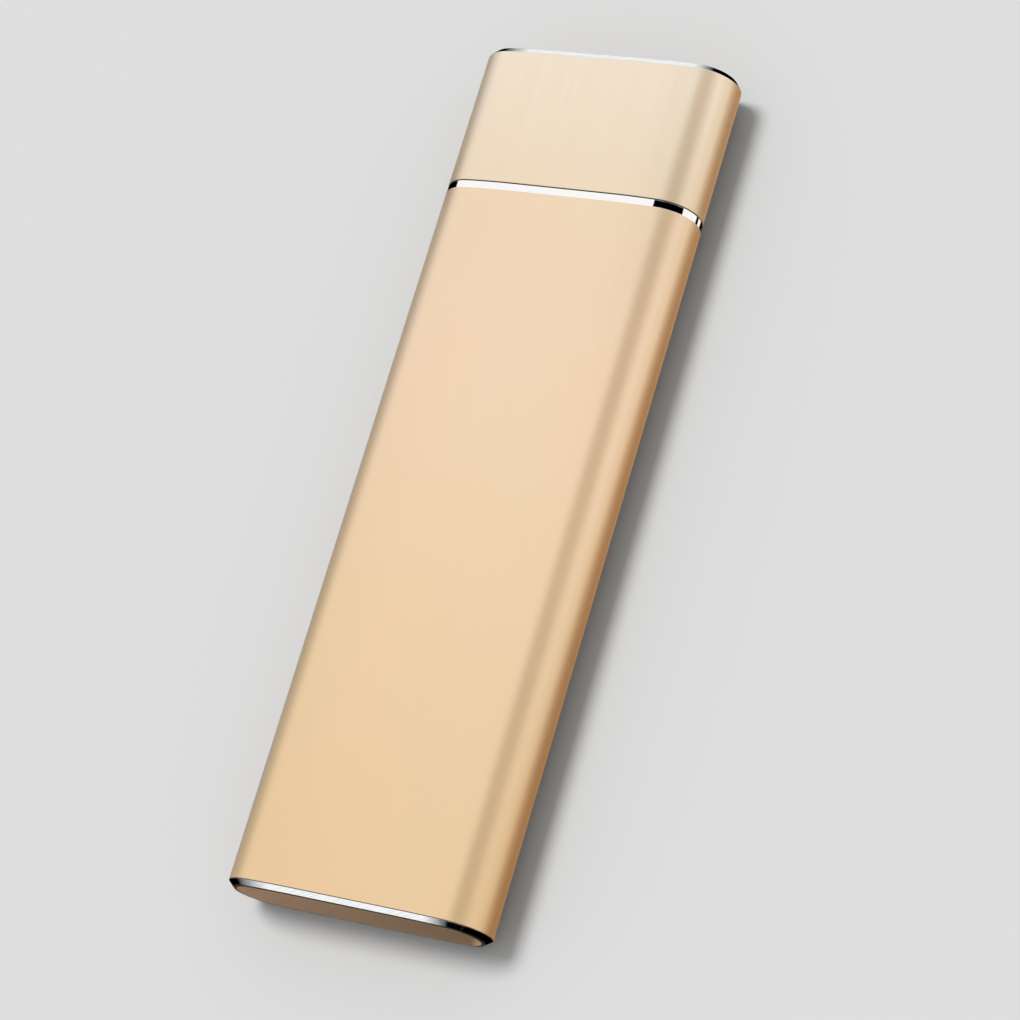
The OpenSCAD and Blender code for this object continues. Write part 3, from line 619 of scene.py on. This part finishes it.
lamp_body = finish("lamp_epoxy", colour(240, 238, 214), metal=0.0, roughness=0.35)
milk = grain(lamp_body, 2.5, detail=2.0)
tints(lamp_body, milk, (0.3, colour(228, 224, 190)), (0.7, colour(246, 245, 232)))
spread(lamp_body, milk, 0.28, 0.45, into="Roughness")
wear(lamp_body, "activity_led")


# Parts on the boards
# Epoxy packages, ceramic capacitors and resistors with tinned ends, a metal-lidded crystal and a
# ferrite choke, all soldered flat to the boards.

chip_resin = finish("chip_epoxy", (0.022, 0.022, 0.024), metal=0.0, roughness=0.48)
filler = grain(chip_resin, 9.0, detail=3.0)
tints(chip_resin, filler, (0.25, (0.016, 0.016, 0.018)), (0.75, (0.036, 0.036, 0.038)))
spread(chip_resin, filler, 0.4, 0.58, into="Roughness")
relief(chip_resin, (filler, 0.004))
wear(chip_resin, "bridge_chip", "firmware_chip", "board_resistors", "storage_controller")
wear(chip_resin, "cache_chip", "memory_chip_1", "memory_chip_2", "module_power_chip")

ferrite = moulded("ferrite", (0.06, 0.06, 0.066), 0.62)
wear(ferrite, "power_inductor")

ceramic = finish("fired_ceramic", colour(176, 140, 100), metal=0.0, roughness=0.4)
fired = grain(ceramic, 4.0, detail=3.0)
tints(ceramic, fired, (0.25, colour(158, 122, 84)), (0.75, colour(192, 158, 116)))
spread(ceramic, fired, 0.3, 0.5, into="Roughness")
relief(ceramic, (fired, 0.003))
wear(ceramic, "board_capacitors", "module_capacitors")

wear(shell_steel, "crystal")


# Module socket
# A brown-black connector moulding along the main board, with two rows of bent gilded strips that
# grip the storage module's fingers.

socket_resin = moulded("socket_resin", (0.03, 0.024, 0.02), 0.5)
wear(socket_resin, "module_socket")
wear(gilt, "socket_contacts", "module_fingers")


# Storage module
# A long slim board under blue-black resist, pushed into the socket at one end and screwed down
# on a brass stud at the other. A soft grey pad carries its heat to the sleeve.

module_board = board("blue_resist", colour(14, 40, 78), colour(24, 58, 104))
wear(module_board, "module_board")
brass = turned_steel("turned_brass", (0.72, 0.52, 0.24), 0.3)
wear(brass, "module_stud")

gap_pad = finish("silicone_pad", colour(150, 160, 172), metal=0.0, roughness=0.75)
crumbs = grain(gap_pad, 2.0, detail=5.0)
tints(gap_pad, crumbs, (0.25, colour(136, 146, 160)), (0.75, colour(166, 174, 184)))
spread(gap_pad, crumbs, 0.65, 0.85, into="Roughness")
relief(gap_pad, (crumbs, 0.03))
wear(gap_pad, "thermal_pad")


# Table and lamp
# A plain pale table top, and one soft lamp over the case's upper left, which throws its short
# shadow to the lower right.

floor_tone = 0.735
paper = finish("pale_paper", (floor_tone,) * 3, 0.0, 0.9, **{"Specular IOR Level": 0.0})
table = bpy.data.meshes.new("table_top")
table_half, table_drop = 3, 5e-5
round_about = ((-1, -1), (1, -1), (1, 1), (-1, 1))
table_corners = [(x * table_half, y * table_half, -table_drop) for x, y in round_about]
table.from_pydata(table_corners, [], [(0, 1, 2, 3)])
table.materials.append(paper)
table_top = bpy.data.objects.new("table_top", table)
bpy.context.scene.collection.objects.link(table_top)

lamp = bpy.data.lights.new("soft_lamp", "SUN")
lamp.energy = 1.84
lamp.angle = radians(22)
soft_lamp = bpy.data.objects.new("soft_lamp", lamp)
soft_lamp.rotation_euler = Vector((0.305, -0.21, -1)).to_track_quat("-Z", "Y").to_euler()
soft_lamp.visible_glossy = False
bpy.context.scene.collection.objects.link(soft_lamp)


# Room
# Even light from all round fills the shadow. Seen straight, in metal or through the clear rod,
# the room is as pale as the table.

fill = 0.455
room = bpy.data.worlds.new("room")
room.use_nodes = True
bpy.context.scene.world = room
rays = add(room, "ShaderNodeLightPath", {}).outputs
straight = {0: rays["Is Camera Ray"], 1: rays["Is Glossy Ray"]}
shown = add(room, "ShaderNodeMath", straight, operation="MAXIMUM").outputs["Value"]
through = {0: shown, 1: rays["Is Transmission Ray"]}
seen = add(room, "ShaderNodeMath", through, operation="MAXIMUM").outputs["Value"]
strength = add(room, "ShaderNodeMapRange", {"Value": seen, "To Min": fill, "To Max": floor_tone})
backdrop = room.node_tree.nodes["Background"]
backdrop.inputs["Color"].default_value = (1, 1, 1, 1)
room.node_tree.links.new(strength.outputs["Result"], backdrop.inputs["Strength"])


# Light tunnel
# Round the case stands a tunnel of cloth that only its metal sees: white above, a grey strip
# that draws the dark line along the right shoulder, a bright strip low beside it, and a dim one
# low on the left. Towards the port the light is cooler and the strips are paler.


def glowing(name):
    """A material that only gives off light. It stays dark to light that has already left the
    table, so that the metal throws none of the panel's light on to the table."""
    material = bpy.data.materials.new(name)
    material.use_nodes = True
    material.node_tree.nodes.clear()
    bounces = add(material, "ShaderNodeLightPath", {}).outputs["Diffuse Depth"]
    direct = add(material, "ShaderNodeMath", {0: bounces, 1: 0.5}, operation="LESS_THAN")
    glow = add(material, "ShaderNodeEmission", {"Strength": direct.outputs["Value"]})
    add(material, "ShaderNodeOutputMaterial", {"Surface": glow.outputs["Emission"]})
    place = add(material, "ShaderNodeTexCoord", {}).outputs["Object"]
    axes = add(material, "ShaderNodeSeparateXYZ", {"Vector": place}).outputs
    return material, glow.inputs["Color"], axes


def wash(material, source, *stops):
    """Light that changes along a source: between (value, colour) stops it runs evenly."""
    values, colours = zip(*stops)
    span = {"Value": source, "From Min": values[0], "From Max": values[-1]}
    share = add(material, "ShaderNodeMapRange", span).outputs["Result"]
    ramp = add(material, "ShaderNodeValToRGB", {"Fac": share})
    for k, (value, tint) in enumerate(zip(values, colours)):
        place = (value - values[0]) / (values[-1] - values[0])
        stop = ramp.color_ramp.elements[k] if k < 2 else ramp.color_ramp.elements.new(place)
        stop.position, stop.color = place, (*np.broadcast_to(tint, 3), 1)
    return ramp.outputs["Color"]


def panel(name, patches, material):
    """A panel that shows only where metal mirrors it: it lights nothing and shades nothing."""
    made = piece(name, patches, material)
    made.visible_camera = made.visible_diffuse = made.visible_shadow = False
    made.visible_transmission = False
    return made


tent_r, tent_from, tent_to, tent_hoops = 700, -1200, 1400, 14
tail_strips, tail_strips_y = [(0.46, 0.47, 0.48), (0.57, 0.525, 0.445), (1.02, 0.97, 0.92)], 0.1
port_strips, port_strips_y = [(0.49, 0.53, 0.58), (0.63, 0.56, 0.51), (1.2, 1.14, 1.08)], 0.36
along = [(0.11, 1.0), (0.191, (0.98, 1.02, 1.0)), (0.267, (1.24, 1.58, 2.6))]
along += [(0.323, (1.32, 1.69, 3.0)), (0.5, (1.26, 1.54, 2.35)), (0.68, 1.0)]
colour_a, colour_b, colour_out = 6, 7, 2
tent_cloth, tent_light, tent_place = glowing("tent_cloth")
sides = {0: tent_place["X"], 1: tent_place["Z"]}
from_top = add(tent_cloth, "ShaderNodeMath", sides, operation="ARCTAN2").outputs["Value"]
hung = []
for dim, grey, bright in (tail_strips, port_strips):
    around = [(-90, dim), (-80, dim), (-60, 1.0), (1, 1.0)]
    around += [(12, grey), (44, grey), (54, bright), (90, bright)]
    around = [(radians(angle), tint) for angle, tint in around]
    hung.append(wash(tent_cloth, from_top, *around))
span = {"Value": tent_place["Y"], "From Min": tail_strips_y, "From Max": port_strips_y}
share = add(tent_cloth, "ShaderNodeMapRange", span).outputs["Result"]
both = {0: share, colour_a: hung[0], colour_b: hung[1]}
mixed = add(tent_cloth, "ShaderNodeMix", both, data_type="RGBA").outputs[colour_out]
washes = {0: mixed, 1: wash(tent_cloth, tent_place["Y"], *along)}
washed = add(tent_cloth, "ShaderNodeVectorMath", washes, operation="MULTIPLY").outputs["Vector"]
tent_cloth.node_tree.links.new(washed, tent_light)
circle = np.linspace(0, 2 * np.pi, 180, endpoint=False)
tent_round = [tent_r * np.sin(circle), tent_r * np.cos(circle), 0 * circle, 0 * circle]
tent_rows = np.array([(0, y) for y in np.linspace(tent_from, tent_to, tent_hoops)])
tunnel = along_y(np.stack(tent_round, axis=1), tent_rows) - [0, 0, mid_z]
panel("light_tunnel", [patch(tunnel, lids=(0, tent_hoops - 1))], tent_cloth)


# Cards on the table
# Three glowing sheets lie against the case, seen only in its metal, and paint the reflection of
# the table round it: cool grey on the left, warm brown with a band of painted shade on the right
# that turns white further off, and painted shade in dark brown before the tail.

sheet_low, sheet_top, sheet_corner, sheet_edge = 0.2, 0.3, 1, 0.02


def card(name, low, high, across, lengthways=((-0.2, 1), (0.2, 1))):
    """A sheet lying between two corners, each an (x, y), which glows for the metal alone to see:
    a painted reflection. Its tone runs along x through the stops across, and is multiplied by one
    that runs along y through the stops lengthways."""
    material, light, place = glowing(name)
    washes = {0: wash(material, place["X"], *across), 1: wash(material, place["Y"], *lengthways)}
    washed = add(material, "ShaderNodeVectorMath", washes, operation="MULTIPLY").outputs["Vector"]
    material.node_tree.links.new(washed, light)
    sheet = slab((*low, sheet_low), (*high, sheet_top), sheet_corner, sheet_edge)
    panel(name, [sheet], material)


cool_across = [(-0.4, (0.3, 0.35, 0.4)), (-0.017, (0.3, 0.35, 0.4))]
card("cool_card", (-400, -55), (-17, 85), cool_across)
# On the right the dark brown band is painted shade: the table in the case's shadow as the metal
# mirrors it.
warm_across = [(0.013, (1.3, 1.0, 0.7)), (0.0165, (0.54, 0.29, 0.12)), (0.019, (0.34, 0.185, 0.072))]
warm_across += [(0.0255, (0.58, 0.39, 0.26)), (0.0345, 1.08), (0.3, 1.2)]
warm_along = [(-0.055, (0.9, 0.83, 0.76)), (-0.02, (0.93, 0.88, 0.84)), (0.005, (1.0, 1.0, 1.06))]
warm_along += [(0.035, (1.08, 1.16, 1.38)), (0.06, (1.14, 1.26, 1.6))]
card("warm_card", (13, -60), (300, 90), warm_across, warm_along)
# Before the tail the dark brown is painted shade: the shadowed table that the end plate mirrors.
tail_shade_across = [(-0.015, (0.25, 0.19, 0.16)), (0.015, (0.06, 0.05, 0.04))]
card("tail_shade_card", (-90, -130), (60, -55.4), tail_shade_across)


# Cards in the bright edges
# Each bright-cut band is lit on its own by a strip of white and black card with soft ends, which
# hangs where the camera sees it in that band. Away from the band it is too narrow to be noticed.

away, step, spare, off_table, strip_t = 120, 0.1, 0.03, 0.5, 0.3
camera_mm = 1000 * np.array(camera.location)


def edge_card(name, low, high, tint, *stops):
    """A strip for the band of the case that runs from low to high, each an (inset, y). From both
    borders of the band the camera's sight line is mirrored, by taking from it twice its share
    along the band's normal, and followed far away or down to just off the table. The strip lies
    there, a little wider. Its tone runs through stops of (distance round the case from the
    middle of its top, level). Lengths are in millimetres."""
    round_top = np.roll(outline, len(outline) // 2, axis=0)
    gone = np.cumsum(np.linalg.norm(np.diff(round_top[:, :2], axis=0), axis=1))
    gone = np.concatenate([[0], gone]) - gone[len(outline) // 2 - 1]
    distance = np.arange(stops[0][0], stops[-1][0], step)
    x, z, nx, nz = (np.interp(distance, gone, column) for column in round_top.T)
    band = along_y(np.stack([x, z, nx, nz], axis=1), np.array([low, high]))
    rise, lean = high[1] - low[1], high[0] - low[0]
    normal = np.stack([nx * rise, 0 * nx + lean, nz * rise], axis=1)
    normal /= np.linalg.norm(normal, axis=1, keepdims=True)
    sight = band - camera_mm
    sight /= np.linalg.norm(sight, axis=2, keepdims=True)
    sight -= 2 * (sight * normal).sum(axis=2, keepdims=True) * normal
    down = np.maximum(-sight[..., 2:], 1e-6)
    reach = np.minimum(away, (band[..., 2:] - off_table) / down)
    border = band + reach * sight
    across = border[1] - border[0]
    across *= spare * reach[0] / np.linalg.norm(across, axis=1, keepdims=True)
    border += [-across, across]
    back = border + strip_t * sight
    strip = np.stack([border[0], border[1], back[1], back[0]], axis=1)
    material, light, _ = glowing(name)
    painted = add(material, "ShaderNodeAttribute", {}, attribute_name="tone").outputs["Color"]
    material.node_tree.links.new(painted, light)
    made = panel(name, [patch(strip, lids=(0, len(strip) - 1))], material)
    level = np.repeat(np.interp(distance, *zip(*stops)), 4)
    colours = np.stack([*(level * part for part in tint), 0 * level + 1], axis=1)
    made.data.attributes.new("tone", "FLOAT_COLOR", "POINT").data.foreach_set("color", colours.ravel())


ring_tones = [(-17, 0), (-14.35, 0), (-14.2, 1), (12.65, 1), (12.75, 0), (16.3, 0), (16.4, 1)]
ring_tones += [(18.6, 1), (18.65, 0), (19.1, 0), (19.15, 1), (19.8, 1), (19.9, 0), (22, 0)]
edge_card("ring_card", (0, ring_y), (0, ring_y + ring_w), (1, 0.985, 0.965), *ring_tones)
tail_tones = [(-17.5, 0), (-14.5, 0), (-10, 1), (10.5, 1), (13.45, 0), (22.5, 0)]
tail_low, tail_high = (tail_edge_in, y_tail), (0, y_tail + tail_edge_len)
edge_card("tail_edge_card", tail_low, tail_high, (1, 1, 1), *tail_tones)
cap_tones = [(-15.6, 0), (-13.5, 0), (-10, 1), (12.5, 1), (15, 0), (20.5, 0)]
cap_low, cap_high = (0, y_head - cap_edge_len), (cap_edge_in, y_head)
edge_card("cap_edge_card", cap_low, cap_high, (0.94, 0.98, 1), *cap_tones)


bpy.context.scene.view_settings.view_transform = "Standard"
